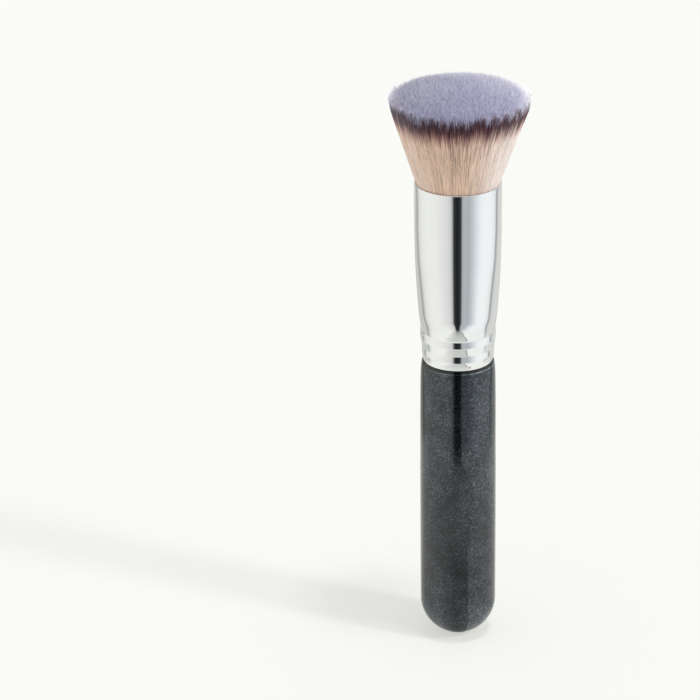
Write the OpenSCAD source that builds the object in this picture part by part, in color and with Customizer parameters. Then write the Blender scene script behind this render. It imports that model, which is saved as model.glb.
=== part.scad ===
// Flat-top kabuki brush: a lacquered wooden handle, a crimped aluminium ferrule
// and a dense flared tuft. Millimetres, +Z up, origin at the centre of the foot.

/* [Handle] */
// Length of the handle from its foot to the shoulder under the ferrule
handle_len = 72.2; // [50:0.1:110]
// Diameter of the straight part of the handle, over the lacquer
handle_d = 17.8; // [15:0.1:19.6]
// How much slimmer the handle is at its shoulder
narrowing = 0.4; // [0:0.05:1.5]
// Length under the shoulder over which the handle narrows
narrowing_len = 26; // [5:0.5:55]
// Radius of the rounded edge of the shoulder
shoulder_round = 0.2; // [0.1:0.05:0.25]
// Diameter of the flat that the handle stands on
foot_d = 6.4; // [3:0.2:11]
// Radius of the edge round that flat
foot_round = 2; // [0.5:0.1:4]
// Thickness of the lacquer coat
lacquer_t = 0.25; // [0.1:0.05:0.4]

/* [Tenon] */
// Length of the wooden tenon inside the ferrule
tenon_len = 17; // [12:0.5:26]
// Width of the chamfer at the tenon's end
tenon_chamfer = 0.8; // [0.2:0.1:3]
// Thickness of the glue film between the tenon and the crimped ferrule
glue_t = 0.1; // [0.04:0.01:0.3]

/* [Ferrule] */
// Length of the ferrule
ferrule_len = 44.5; // [35:0.5:70]
// Outer diameter at the mouth
mouth_d = 20.2; // [18.6:0.1:23]
// Wall thickness of the drawn tube
ferrule_wall = 0.4; // [0.25:0.05:0.6]
// Length of the straight tube below the mouth
straight_len = 16.6; // [12:0.2:26]
// Length of the soft bend from the straight tube into the taper
bend_len = 7; // [2:0.5:12]
// Width of the lacquered ledge that shows round the ferrule's lower edge
ledge = 0.25; // [0.25:0.05:0.8]

/* [Neck] */
// Height of the plain edge under the lower band
edge_h = 2.2; // [1:0.1:4]
// How far the lower band stands out from the ferrule's lower edge
edge_rise = 0.1; // [0:0.05:0.3]
// Height of the lower band
lower_band_h = 1.5; // [0.8:0.1:3]
// Height of the slope between the bands
slope_h = 2.2; // [1:0.1:4]
// How far the slope leans out over its height
slope_rise = 0.25; // [0:0.05:0.5]
// How far the upper band stands out from the slope's upper end
band_step = 0.1; // [0.02:0.02:0.2]
// Height of the upper band
upper_band_h = 1.8; // [0.8:0.1:3]
// Depth of the rolled crimp above the upper band
crimp_depth = 0.16; // [0.05:0.01:0.3]
// Width of that crimp
crimp_w = 1.3; // [0.8:0.1:2.5]

/* [Tuft] */
// Height of the tuft's crown above the ferrule's mouth
tuft_h = 23.3; // [16:0.1:40]
// Diameter of the tuft at its widest
tuft_d = 32.2; // [23:0.2:40]
// How far the tuft's widest part lies below its crown
rim_drop = 3.5; // [3.4:0.1:6]
// How far the flat top falls evenly from its crown to its edge
dome_drop = 1.2; // [0:0.1:1.4]
// How far the top falls besides at its soft edge
edge_drop = 1.9; // [0.5:0.1:2]
// Height over which the flare turns upright below the widest part
turn_h = 4.2; // [2:0.1:8]
// How much the radius grows over that height
turn_rise = 0.9; // [0.2:0.1:2.5]
// Share of its cell that a lock fills where the flare starts to turn
turn_fill = 0.88; // [0.6:0.01:0.95]
// Share of its cell that a lock fills at the tuft's widest part
rim_fill = 0.8; // [0.5:0.01:0.95]
// Share of its cell that a lock fills at its tip
tip_fill = 0.55; // [0.3:0.01:0.7]
// How far the shortest tips stop below the tallest
tip_scatter = 0.6; // [0:0.1:0.7]

/* [Root] */
// Depth of the bristles' root ends below the ferrule's mouth
root_depth = 15.5; // [12.5:0.5:25]
// Depth of the root glue's top below the ferrule's mouth
glue_depth = 8; // [3:0.5:11]
// Depth below the mouth at which the locks part from each other
part_depth = 0.6; // [0.3:0.1:3]
// Thickness of the glue wall between the root and the ferrule
root_glue_t = 0.85; // [0.6:0.05:2.5]
// Thickness of the glue under the root ends
root_floor_t = 1.2; // [0.5:0.1:4]
// Gap between the fanning locks and the ferrule's rounded lip
hair_gap = 0.06; // [0.02:0.01:0.3]
// Diameter of the binding thread
thread_d = 0.5; // [0.2:0.05:0.7]
// Turns of the binding thread
thread_turns = 5; // [2:1:10]
// Height of the lowest turn above the root ends
thread_rise = 2; // [0.6:0.1:5]
// Clearance round the thread inside the root glue
thread_gap = 0.05; // [0.02:0.01:0.2]

/* [Hidden] */
$fn = 96;

arc_steps = 12;         // straight pieces in a quarter of a rounded edge
crimp_steps = 8;        // straight pieces across the crimp
bend_steps = 10;        // straight pieces along the ferrule's soft bend
step_h = 0.15;          // height over which the upper band steps out
thread_pitch = 0.92;    // rise of one turn of thread, in thread diameters
locks_across = 18;      // locks along a side of the grid that is wrapped into a disc
soft_edge_power = 8;    // how late the flat top starts to fall off at its edge
scatter_seed = 7;       // keeps the tips' heights the same on each build

handle_r = handle_d / 2;
foot_r = foot_d / 2;
shoulder_r = handle_r - narrowing / 2;
end_z = foot_round + sqrt(pow(handle_r - foot_round, 2) - pow(foot_r, 2));
tenon_top = handle_len + tenon_len;

base_r = shoulder_r - ledge;
lower_band_r = base_r + edge_rise;
slope_r = lower_band_r + slope_rise;
upper_band_r = slope_r + band_step;
lower_band_z = handle_len + edge_h;
slope_z = lower_band_z + lower_band_h;
upper_band_z = slope_z + slope_h;
crimp_z = upper_band_z + upper_band_h + crimp_w / 2;
taper_z = crimp_z + crimp_w / 2;

mouth_z = handle_len + ferrule_len;
mouth_r = mouth_d / 2;
bore_r = mouth_r - ferrule_wall;
lip_round = ferrule_wall / 2;
lip_z = mouth_z - lip_round;
bend_top_z = mouth_z - straight_len;
bend_low_z = bend_top_z - bend_len;
taper_tan = (mouth_r - upper_band_r) / ((bend_top_z + bend_low_z) / 2 - taper_z);

crown_z = mouth_z + tuft_h;
rim_r = tuft_d / 2;
rim_z = crown_z - rim_drop;
turn_r = rim_r - turn_rise;
turn_z = rim_z - turn_h;
lip_hair_r = bore_r - hair_gap;
flare_tan = (turn_r - lip_hair_r) / (turn_z - lip_z);

root_r = bore_r - root_glue_t;
root_z = mouth_z - root_depth;
glue_z = mouth_z - glue_depth;
part_z = mouth_z - part_depth;
part_r = lip_hair_r - flare_tan * (lip_z - part_z);
thread_z = root_z + thread_rise;
thread_step = thread_d * thread_pitch;

// Points of an arc about centre, from one angle to another
function arc(centre, r, from, to, steps) = [
  for (i = [0 : steps])
    let (a = from + (to - from) * i / steps)
      centre + r * [cos(a), sin(a)]
];

function reversed(list) = [for (i = [len(list) - 1 : -1 : 0]) list[i]];

// Edge of the shoulder at a depth under its surface: rounded, or sharp further in
function shoulder_edge(depth) =
  depth < shoulder_round
    ? arc(
        [shoulder_r - shoulder_round, handle_len - shoulder_round],
        shoulder_round - depth, 0, 90, arc_steps / 2
      )
    : [[shoulder_r - depth, handle_len - depth]];

// Outline of the handle from foot to shoulder, at a depth under its surface
function handle_outline(depth) =
  let (blend = atan2(end_z - foot_round, foot_r))
  concat(
    [[0, depth]],
    arc([foot_r, foot_round], foot_round - depth, -90, -blend, arc_steps / 2),
    arc([0, end_z], handle_r - depth, -blend, 0, arc_steps),
    [[handle_r - depth, handle_len - narrowing_len]],
    shoulder_edge(depth)
  );

// Radius at height z on a straight stretch between two points of a wall
function along(z, low, high) =
  low[0] + (high[0] - low[0]) * (z - low[1]) / (high[1] - low[1]);

// Outer radius of the ferrule at height z
function ferrule_r(z) =
  z <= lower_band_z ? along(z, [base_r, handle_len], [lower_band_r, lower_band_z])
  : z <= slope_z ? lower_band_r
  : z <= upper_band_z ? along(z, [lower_band_r, slope_z], [slope_r, upper_band_z])
  : z <= upper_band_z + step_h
    ? along(z, [slope_r, upper_band_z], [upper_band_r, upper_band_z + step_h])
  : z <= crimp_z - crimp_w / 2 ? upper_band_r
  : z <= taper_z
    ? upper_band_r - crimp_depth * (1 + cos(360 * (z - crimp_z) / crimp_w)) / 2
  : z <= bend_low_z ? upper_band_r + taper_tan * (z - taper_z)
  : z <= bend_top_z ? mouth_r - taper_tan * pow(bend_top_z - z, 2) / (2 * bend_len)
  : mouth_r;
function bore_at(z) = ferrule_r(z) - ferrule_wall;

// Heights at which the ferrule's wall changes direction, from its base upwards
wall_heights = concat(
  [handle_len, lower_band_z, slope_z, upper_band_z, upper_band_z + step_h],
  [for (i = [0 : crimp_steps]) taper_z - crimp_w * (1 - i / crimp_steps)],
  [for (i = [0 : bend_steps]) bend_top_z - bend_len * (1 - i / bend_steps)]
);
function heights_between(low, high) = concat(
  [low], [for (z = wall_heights) if (z > low && z < high) z], [high]
);

// The tenon fills the crimped neck and runs on above it at the crimp's bore
function tenon_r(z) = bore_at(min(z, crimp_z)) - glue_t;
tenon_end_z = tenon_top - tenon_chamfer;
tenon_wall = concat(
  [for (z = heights_between(handle_len, crimp_z)) [tenon_r(z), z]],
  [[tenon_r(tenon_top), tenon_end_z], [tenon_r(tenon_top) - tenon_chamfer, tenon_top]]
);

// A point of a square wrapped into the unit disc, ring for ring
function in_disc(u, v) =
  u == 0 && v == 0 ? [0, 0]
  : abs(u) >= abs(v)
    ? let (a = 45 * v / u) u * [cos(a), sin(a)]
    : let (a = 90 - 45 * u / v) v * [cos(a), sin(a)];

// Grid of cells in that disc: every cell is the foot of one lock
half_grid = locks_across / 2;
grid = [
  for (j = [0 : locks_across]) for (i = [0 : locks_across])
    in_disc(i / half_grid - 1, j / half_grid - 1)
];
function grid_index(i, j) = j * (locks_across + 1) + i;
cells = [
  for (j = [0 : locks_across - 1]) for (i = [0 : locks_across - 1])
    [grid_index(i, j), grid_index(i + 1, j), grid_index(i + 1, j + 1), grid_index(i, j + 1)]
];
grid_edge = concat(
  [for (i = [0 : locks_across - 1]) grid_index(i, 0)],
  [for (j = [0 : locks_across - 1]) grid_index(locks_across, j)],
  [for (i = [locks_across : -1 : 1]) grid_index(i, locks_across)],
  [for (j = [locks_across : -1 : 1]) grid_index(0, j)]
);
lock_numbers = [0 : len(cells) - 1];
shortfalls = rands(0, tip_scatter, len(cells), scatter_seed);

// Height of the flat top at a share rho of the tuft's radius
function top_z(rho) =
  crown_z - dome_drop * pow(rho, 2) - edge_drop * pow(rho, soft_edge_power);

// Corners of lock k's cell in the unit disc, drawn in about its middle
function drawn_in(k, fill) =
  let (
    corners = [for (c = cells[k]) grid[c]],
    middle = (corners[0] + corners[1] + corners[2] + corners[3]) / 4
  ) [for (p = corners) middle + fill * (p - middle)];

// The same corners at a level, spread so that the outermost locks reach radius r
function lock_ring(k, fill, r, z) =
  let (spread = r / (1 - (1 - fill) / locks_across))
    [for (p = drawn_in(k, fill)) [spread * p[0], spread * p[1], z]];

// The ring at a lock's tip follows the flat top
function tip_ring(k) = [
  for (p = drawn_in(k, tip_fill))
    [rim_r * p[0], rim_r * p[1], top_z(norm(p)) - shortfalls[k]]
];

// Levels of a lock: 1 is where the flare starts to turn, 2 the widest part, 3 the tip
function ring_at(k, level) =
  level == 1 ? lock_ring(k, turn_fill, turn_r, turn_z)
  : level == 2 ? lock_ring(k, rim_fill, rim_r, rim_z)
  : tip_ring(k);

// Faces between a lower and an upper loop of points, given by their indices
function wall_faces(low, high) = [
  for (k = [0 : len(low) - 1])
    let (n = (k + 1) % len(low))
      each [[low[k], high[n], low[n]], [low[k], high[k], high[n]]]
];

// Faces that close a ring of four points, seen from above or from below
function cap_above(ring) = [[ring[2], ring[1], ring[0]], [ring[3], ring[2], ring[0]]];
function cap_below(ring) = [[ring[0], ring[1], ring[2]], [ring[0], ring[2], ring[3]]];
function indices(first, count) = [for (c = [0 : count - 1]) first + c];

// One dyed length of all the locks, between a level and the next
module dyed_length(level) {
  polyhedron(
    points = [for (k = lock_numbers) each concat(ring_at(k, level), ring_at(k, level + 1))],
    faces = [
      for (k = lock_numbers)
        let (low = indices(8 * k, 4), high = indices(8 * k + 4, 4))
          each concat(cap_below(low), wall_faces(low, high), cap_above(high))
    ],
    convexity = 10
  );
}

// The glued root with the undyed length of every lock on it
module rooted_length() {
  around = len(grid_edge);
  root_end = indices(len(grid), around);
  root_top = indices(len(grid) + around, around);
  first_lock = len(grid) + 2 * around;
  polyhedron(
    points = concat(
      [for (p = grid) [part_r * p[0], part_r * p[1], part_z]],
      [for (e = grid_edge) [root_r * grid[e][0], root_r * grid[e][1], root_z]],
      [for (e = grid_edge) [root_r * grid[e][0], root_r * grid[e][1], glue_z]],
      [for (k = lock_numbers) each ring_at(k, 1)]
    ),
    faces = concat(
      [root_end],
      wall_faces(root_end, root_top),
      wall_faces(root_top, grid_edge),
      [
        for (k = lock_numbers)
          let (high = indices(first_lock + 4 * k, 4))
            each concat(wall_faces(cells[k], high), cap_above(high))
      ]
    ),
    convexity = 10
  );
}

// Turned wooden handle with its tenon, pressed in where the ferrule is crimped
module handle_core() {
  color("burlywood")
    rotate_extrude()
      polygon(concat(
        handle_outline(lacquer_t),
        [[tenon_r(handle_len), handle_len - lacquer_t]],
        tenon_wall,
        [[0, tenon_top]]
      ));
}

// Black glitter lacquer over the grip, from the foot to the shoulder
module lacquer_coat() {
  inner_r = tenon_r(handle_len);
  color("#26282c")
    rotate_extrude()
      polygon(concat(
        handle_outline(0),
        [[inner_r, handle_len], [inner_r, handle_len - lacquer_t]],
        reversed(handle_outline(lacquer_t))
      ));
}

// Glue that fills the wedge between the tenon and the ferrule
module tenon_glue() {
  color("khaki")
    rotate_extrude()
      polygon(concat(
        [for (z = heights_between(handle_len, tenon_end_z)) [bore_at(z), z]],
        [[tenon_r(tenon_end_z), tenon_end_z]],
        reversed([for (z = heights_between(handle_len, crimp_z)) [tenon_r(z), z]])
      ));
}

// Drawn tube with a soft taper, a crimped neck and a rounded lip
module ferrule() {
  color("silver")
    rotate_extrude()
      polygon(concat(
        [for (z = wall_heights) [ferrule_r(z), z]],
        arc([mouth_r - lip_round, lip_z], lip_round, 0, 180, arc_steps),
        reversed([for (z = wall_heights) [bore_at(z), z]])
      ));
}

// Locks of fibres that fan out from one glued root: undyed, then plum, then lilac
module bristles() {
  color("#d3b69d") rooted_length();
  color("#4b3239") dyed_length(1);
  color("#b7b3c2") dyed_length(2);
}

// Thread wound round the root to hold the fibres until the glue sets
module binding_thread() {
  color("ivory")
    rotate_extrude()
      for (turn = [0 : thread_turns - 1])
        translate([root_r + thread_d / 2, thread_z + turn * thread_step])
          circle(d = thread_d);
}

// Cast glue cup that holds the root and its thread in the ferrule
module root_plug() {
  floor_z = root_z - root_floor_t;
  slot_low = thread_z - thread_d / 2 - thread_gap;
  slot_high = thread_z + (thread_turns - 1) * thread_step + thread_d / 2 + thread_gap;
  slot_r = root_r + thread_d + thread_gap;
  color("#c9b27c")
    rotate_extrude()
      polygon(concat(
        [[0, floor_z]],
        [for (z = heights_between(floor_z, glue_z)) [bore_at(z), z]],
        [
          [root_r, glue_z], [root_r, slot_high], [slot_r, slot_high],
          [slot_r, slot_low], [root_r, slot_low], [root_r, root_z], [0, root_z]
        ]
      ));
}

handle_core();
lacquer_coat();
tenon_glue();
ferrule();
bristles();
binding_thread();
root_plug();
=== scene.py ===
import math

import bpy
import numpy as np
from mathutils import Matrix


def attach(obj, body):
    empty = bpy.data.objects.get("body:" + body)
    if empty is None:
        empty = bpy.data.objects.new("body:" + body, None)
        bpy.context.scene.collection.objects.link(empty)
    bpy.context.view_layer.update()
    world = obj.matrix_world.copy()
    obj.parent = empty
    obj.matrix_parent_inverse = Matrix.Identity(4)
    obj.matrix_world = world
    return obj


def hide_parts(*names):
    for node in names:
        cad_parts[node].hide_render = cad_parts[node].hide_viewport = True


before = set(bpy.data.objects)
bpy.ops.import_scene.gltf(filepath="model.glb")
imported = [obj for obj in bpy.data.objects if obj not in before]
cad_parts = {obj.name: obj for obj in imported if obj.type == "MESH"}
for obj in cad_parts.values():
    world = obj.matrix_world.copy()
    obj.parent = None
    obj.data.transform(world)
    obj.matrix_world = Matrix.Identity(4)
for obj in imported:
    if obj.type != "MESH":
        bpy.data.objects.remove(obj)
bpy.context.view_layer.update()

# Flat-top kabuki brush: lengths are millimetres here and become metres where a mesh is made

scene = bpy.context.scene
scene.view_settings.view_transform = "Standard"
millimetre = 0.001
tiny = 1e-6  # millimetres, as good as none
fullTurn = 2 * math.pi
sharpAngle = 50  # degrees between two faces from which their edge looks sharp
tubeSides = 3  # of a fibre


# ---- helpers: colour, nodes, meshes

def toLinear(hexColour):
    parts = [int(hexColour[i:i + 2], 16) / 255 for i in (1, 3, 5)]
    return [c / 12.92 if c <= 0.04045 else ((c + 0.055) / 1.055) ** 2.4 for c in parts] + [1.0]


def addNode(tree, kind, inputs=None, stops=None, **settings):
    # adds one node: its settings, its input values or links, and a ramp's stops; another node
    # among the inputs stands for its first output
    node = tree.nodes.new(kind)
    for name, value in settings.items():
        setattr(node, name, value)
    if stops:
        elements = node.color_ramp.elements
        while len(elements) < len(stops):
            elements.new(0.5)
        for element, (place, colour) in zip(elements, stops):
            element.position = place
            element.color = toLinear(colour)
    for name, value in (inputs or {}).items():
        if isinstance(value, bpy.types.Node):
            value = value.outputs[0]
        if isinstance(value, bpy.types.NodeSocket):
            tree.links.new(value, node.inputs[name])
        else:
            node.inputs[name].default_value = value
    return node


def greyHex(share):
    # the grey whose linear value is the share
    curved = 12.92 * share if share <= 0.0031308 else 1.055 * share ** (1 / 2.4) - 0.055
    value = round(255 * curved)
    return f"#{value:02x}{value:02x}{value:02x}"


def newMaterial(name):
    material = bpy.data.materials.new(name)
    material.use_nodes = True
    material.node_tree.nodes.clear()
    return material, material.node_tree


def finishMaterial(tree, shader):
    addNode(tree, "ShaderNodeOutputMaterial", {"Surface": shader})


def meshFromArrays(name, points, corners, sizes, uv):
    # corners: one flat list of point numbers, sizes: how many corners each face has
    mesh = bpy.data.meshes.new(name)
    starts = np.concatenate([[0], np.cumsum(sizes)[:-1]])
    mesh.vertices.add(len(points))
    mesh.vertices.foreach_set("co", (np.asarray(points) * millimetre).ravel())
    mesh.loops.add(len(corners))
    mesh.loops.foreach_set("vertex_index", np.asarray(corners, dtype=np.int32))
    mesh.polygons.add(len(sizes))
    mesh.polygons.foreach_set("loop_start", starts.astype(np.int32))
    mesh.update(calc_edges=True)
    mesh.uv_layers.new(name="OFBake").data.foreach_set("uv", np.asarray(uv).ravel())
    mesh.shade_smooth()
    piece = bpy.data.objects.new(name, mesh)
    scene.collection.objects.link(piece)
    return piece


def lathe(name, outline, segments):
    # turns a closed outline of (radius, height) about the axis; a point on the axis is one vertex
    outline = np.asarray(outline, dtype=float)
    count = len(outline)
    lengths = np.linalg.norm(np.roll(outline, -1, axis=0) - outline, axis=1)
    along = np.concatenate([[0], np.cumsum(lengths)]) / lengths.sum()
    turns = np.arange(segments) * fullTurn / segments
    points, rings = [], []
    for radius, height in outline:
        if radius < tiny:
            rings.append([len(points)] * segments)
            points.append((0.0, 0.0, height))
        else:
            rings.append(list(range(len(points), len(points) + segments)))
            points.extend(zip(radius * np.cos(turns), radius * np.sin(turns), [height] * segments))
    corners, sizes, uv = [], [], []
    for i in range(count):
        after = (i + 1) % count
        low, high = rings[i], rings[after]
        lowPole, highPole = outline[i][0] < tiny, outline[after][0] < tiny
        if lowPole and highPole:
            continue
        for k in range(segments):
            n = (k + 1) % segments
            face = [(low[k], k, along[i]), (low[n], k + 1, along[i]),
                    (high[n], k + 1, along[i + 1]), (high[k], k, along[i + 1])]
            if lowPole:
                face.pop(1)
            elif highPole:
                face.pop(2)
            corners.extend(corner[0] for corner in face)
            uv.extend((corner[1] / segments, corner[2]) for corner in face)
            sizes.append(len(face))
    piece = meshFromArrays(name, points, corners, sizes, uv)
    piece.data.set_sharp_from_angle(angle=math.radians(sharpAngle))
    return piece


def arcPoints(centre, radius, start, end, steps):
    angles = np.radians(np.linspace(start, end, steps + 1))
    return [(centre[0] + radius * math.cos(a), centre[1] + radius * math.sin(a)) for a in angles]


def smoothCurve(knots, x):
    # cubic through the knots, with the slopes of the neighbouring knots
    xs, ys = np.array(knots).T
    slopes = np.gradient(ys, xs)
    x = np.clip(x, xs[0], xs[-1])
    i = np.clip(np.searchsorted(xs, x) - 1, 0, len(xs) - 2)
    h = xs[i + 1] - xs[i]
    t = (x - xs[i]) / h
    return ((2 * t**3 - 3 * t**2 + 1) * ys[i] + (t**3 - 2 * t**2 + t) * h * slopes[i]
            + (-2 * t**3 + 3 * t**2) * ys[i + 1] + (t**3 - t**2) * h * slopes[i + 1])


def ramp(values, start, width):
    # 0 up to the start, 1 past the width
    return np.clip((values - start) / width, 0, 1)


def placePiece(piece, material, slotName, *nodes):
    piece.data.materials.append(material)
    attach(piece, "root")
    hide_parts(*nodes)


# ---- camera: the photograph's view from the front and above

cameraView = {
    "distance": 667.7,  # from the brush's axis, level
    "height": 359.65,  # above the foot
    "pitch": 23.13,  # degrees down
    "turn": 2.196,  # degrees to the left, which puts the brush right of the middle
    "roll": 0.858,  # keeps the brush upright there
    "lens": 157.5,
    "sensor": 36,
    "clip": (0.01, 20),  # metres
}


def makeCamera(view):
    data = bpy.data.cameras.new("camera")
    data.lens = view["lens"]
    data.sensor_width = view["sensor"]
    data.clip_start, data.clip_end = view["clip"]
    camera = bpy.data.objects.new("camera", data)
    scene.collection.objects.link(camera)
    camera.matrix_world = (
        Matrix.Translation((0, -view["distance"] * millimetre, view["height"] * millimetre))
        @ Matrix.Rotation(math.radians(view["turn"]), 4, "Z")
        @ Matrix.Rotation(math.radians(90 - view["pitch"]), 4, "X")
        @ Matrix.Rotation(math.radians(-view["roll"]), 4, "Z"))
    scene.camera = camera


makeCamera(cameraView)
print("camera made")


# ---- studio: pale floor, plain light, two key lamps and the ring of panels that metal mirrors

studio = {
    "background": "#fafbf6",
    "worldColour": "#fdfefe",
    "worldLevel": 0.67,  # light on the object from all round
    # each lamp's height, its turn from the camera to the right, and its strength
    "lamps": [(38, 66, 1.05), (79, 56, 0.80)],
    "lampColour": "#fffefc",
    "lampAngle": 8,  # degrees across, softens the shadow's edge
    "lampAway": 2,  # metres; a sun lamp lights alike from any distance
    "floorColours": ("#eff0eb", "#eff0ed"),
    "floorGlow": 0.56,  # how much of the seen floor is its own colour, without shading
    "floorHalf": 3000,
    "mirrorFloor": (108, 134),  # radii between which mirrors lose the floor
    # painted shade: a grey floor strip before the brush that only mirrors show; how dark, by
    # distance
    "paintedMirrorShade": [(0, 0.50), (48, 0.46), (60, 0.40), (71, 0.19), (82, 0.17), (92, 0.23),
                    (100, 0.31), (110, 0.42), (118, 0.64), (128, 1.0)],
    # half its width in degrees, by distance
    "mirrorWide": [(0, 24), (58, 28), (78, 42), (97, 42), (108, 21), (118, 10), (130, 9)],
    # how dark it is across, in half widths
    "mirrorAcross": [(-1.9, 0), (-0.95, 0.62), (-0.35, 1.0), (0.93, 1.0), (1.1, 0)],
    # its darker right edge, by distance and across
    "mirrorEdge": [(78, 0), (92, 0.45), (108, 0.75), (116, 0.75), (122, 0)],
    "mirrorEdgeAcross": [(0.84, 0), (0.94, 1.0), (1.03, 1.0), (1.12, 0)],
    "mirrorReach": 130,  # the farthest distance in these lists
    "mirrorSpan": 2,  # the most half widths in them
    "paintedShadeColour": "#2c2e2f",
    # tapered metal mirrors what is below: further round at its sides, with a narrower dark panel
    "lowTurn": 1.24,
    "lowTurnFrom": (-0.36, -0.52),  # direction's Z between which that comes in
    "lowTurnSides": (35, 85),  # and degrees round
    "lowNarrow": 1.3,
    "lowNarrowFrom": (-0.52, -0.60),
    "above": "#f2f4f3",
    "aboveFrom": (0.35, 0.75),  # direction's Z between which the ring gives way to it
    # what polished metal mirrors, by degrees round from the camera (right is positive)
    "ring": [(-180, "#d2d3ce"), (-160, "#cdcfc9"), (-144, "#ced0ca"), (-139, "#a0a29e"),
             (-134, "#b4b5b1"), (-126, "#e2e2dd"), (-112, "#f2f2ed"), (-90, "#f7f8f5"),
             (-62, "#f6f6f3"), (-40, "#ececea"), (-27, "#e2e2e1"), (-19, "#d6d6d5"),
             (-14, "#a0a1a1"), (-11.5, "#3a3c3d"), (-3, "#202224"), (4, "#2c2e2f"),
             (8.5, "#4b4d4e"), (11.5, "#b0b4b6"), (20, "#bbbfc1"), (28, "#b4b8bc"),
             (38, "#c8cdd1"), (52, "#e5eaed"), (64, "#f8fcff"), (80, "#ffffff"),
             (100, "#fbfdfe"), (115, "#ecefef"), (121, "#a2a5a6"), (126, "#bbbdbd"),
             (133, "#dcdddb"), (155, "#dfdfdc"), (180, "#d2d3ce")],
}


def addSeenShare(tree):
    # 1 where a surface is seen, also in a mirror or through glass, and 0 where it only gives light
    paths = addNode(tree, "ShaderNodeLightPath")
    glossyOrClear = addNode(tree, "ShaderNodeMath", {
        0: paths.outputs["Is Glossy Ray"], 1: paths.outputs["Is Transmission Ray"]},
        operation="MAXIMUM")
    seen = addNode(tree, "ShaderNodeMath", {
        0: paths.outputs["Is Camera Ray"], 1: glossyOrClear}, operation="MAXIMUM")
    return paths, seen


def addTurn(tree, place):
    # radians round from the front, right positive
    forwards = addNode(tree, "ShaderNodeMath", {
        0: place.outputs["Y"], 1: -1.0}, operation="MULTIPLY")
    turn = addNode(tree, "ShaderNodeMath", {
        0: place.outputs["X"], 1: forwards}, operation="ARCTAN2")
    return turn


def makeWorld(values):
    world = bpy.data.worlds.new("studioWorld")
    world.use_nodes = True
    tree = world.node_tree
    tree.nodes.clear()
    direction = addNode(tree, "ShaderNodeSeparateXYZ", {
        "Vector": addNode(tree, "ShaderNodeTexCoord").outputs["Generated"]})
    turn = addTurn(tree, direction)
    turnFrom, turnTo = values["lowTurnFrom"]
    lower = addNode(tree, "ShaderNodeMapRange", {
        "Value": direction.outputs["Z"], "From Min": turnFrom, "From Max": turnTo,
        "To Max": values["lowTurn"] - 1})
    sidesFrom, sidesTo = (math.radians(degrees) for degrees in values["lowTurnSides"])
    aside = addNode(tree, "ShaderNodeMapRange", {
        "Value": addNode(tree, "ShaderNodeMath", {0: turn}, operation="ABSOLUTE"),
        "From Min": sidesFrom, "From Max": sidesTo})
    narrowFrom, narrowTo = values["lowNarrowFrom"]
    narrow = addNode(tree, "ShaderNodeMapRange", {
        "Value": direction.outputs["Z"], "From Min": narrowFrom, "From Max": narrowTo,
        "To Max": values["lowNarrow"]})
    further = addNode(tree, "ShaderNodeMix", {2: narrow, 3: lower, 0: aside})
    turned = addNode(tree, "ShaderNodeMath", {
        0: turn, 1: further, 2: turn}, operation="MULTIPLY_ADD")
    place = addNode(tree, "ShaderNodeMapRange", {
        "Value": turned, "From Min": -math.pi, "From Max": math.pi})
    ring = addNode(tree, "ShaderNodeValToRGB", {"Fac": place}, stops=[
        ((degrees + 180) / 360, colour) for degrees, colour in values["ring"]])
    aboveFrom, aboveTo = values["aboveFrom"]
    height = addNode(tree, "ShaderNodeMapRange", {
        "Value": direction.outputs["Z"], "From Min": aboveFrom, "From Max": aboveTo},
        interpolation_type="SMOOTHSTEP")
    mirrored = addNode(tree, "ShaderNodeMix", {
        0: height, 6: ring.outputs["Color"], 7: toLinear(values["above"])},
        data_type="RGBA")
    paths, seen = addSeenShare(tree)
    shown = addNode(tree, "ShaderNodeMix", {
        0: paths.outputs["Is Camera Ray"], 6: mirrored.outputs[2],
        7: toLinear(values["background"])}, data_type="RGBA")
    light = addNode(tree, "ShaderNodeBackground", {
        "Color": toLinear(values["worldColour"]), "Strength": values["worldLevel"]})
    picture = addNode(tree, "ShaderNodeBackground", {"Color": shown.outputs[2], "Strength": 1.0})
    both = addNode(tree, "ShaderNodeMixShader", {0: seen, 1: light, 2: picture})
    addNode(tree, "ShaderNodeOutputWorld", {"Surface": both})
    scene.world = world


def makeLamps(values):
    for number, (height, turn, strength) in enumerate(values["lamps"]):
        data = bpy.data.lights.new(f"keyLamp{number}", "SUN")
        data.energy = strength
        data.angle = math.radians(values["lampAngle"])
        data.color = toLinear(values["lampColour"])[:3]
        lamp = bpy.data.objects.new(f"keyLamp{number}", data)
        lamp.visible_camera = False
        lamp.visible_glossy = False  # metal mirrors the ring instead
        scene.collection.objects.link(lamp)
        lamp.matrix_world = (
            Matrix.Rotation(math.radians(turn), 4, "Z")
            @ Matrix.Rotation(math.radians(90 - height), 4, "X")
            @ Matrix.Translation((0, 0, values["lampAway"])))


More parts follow.
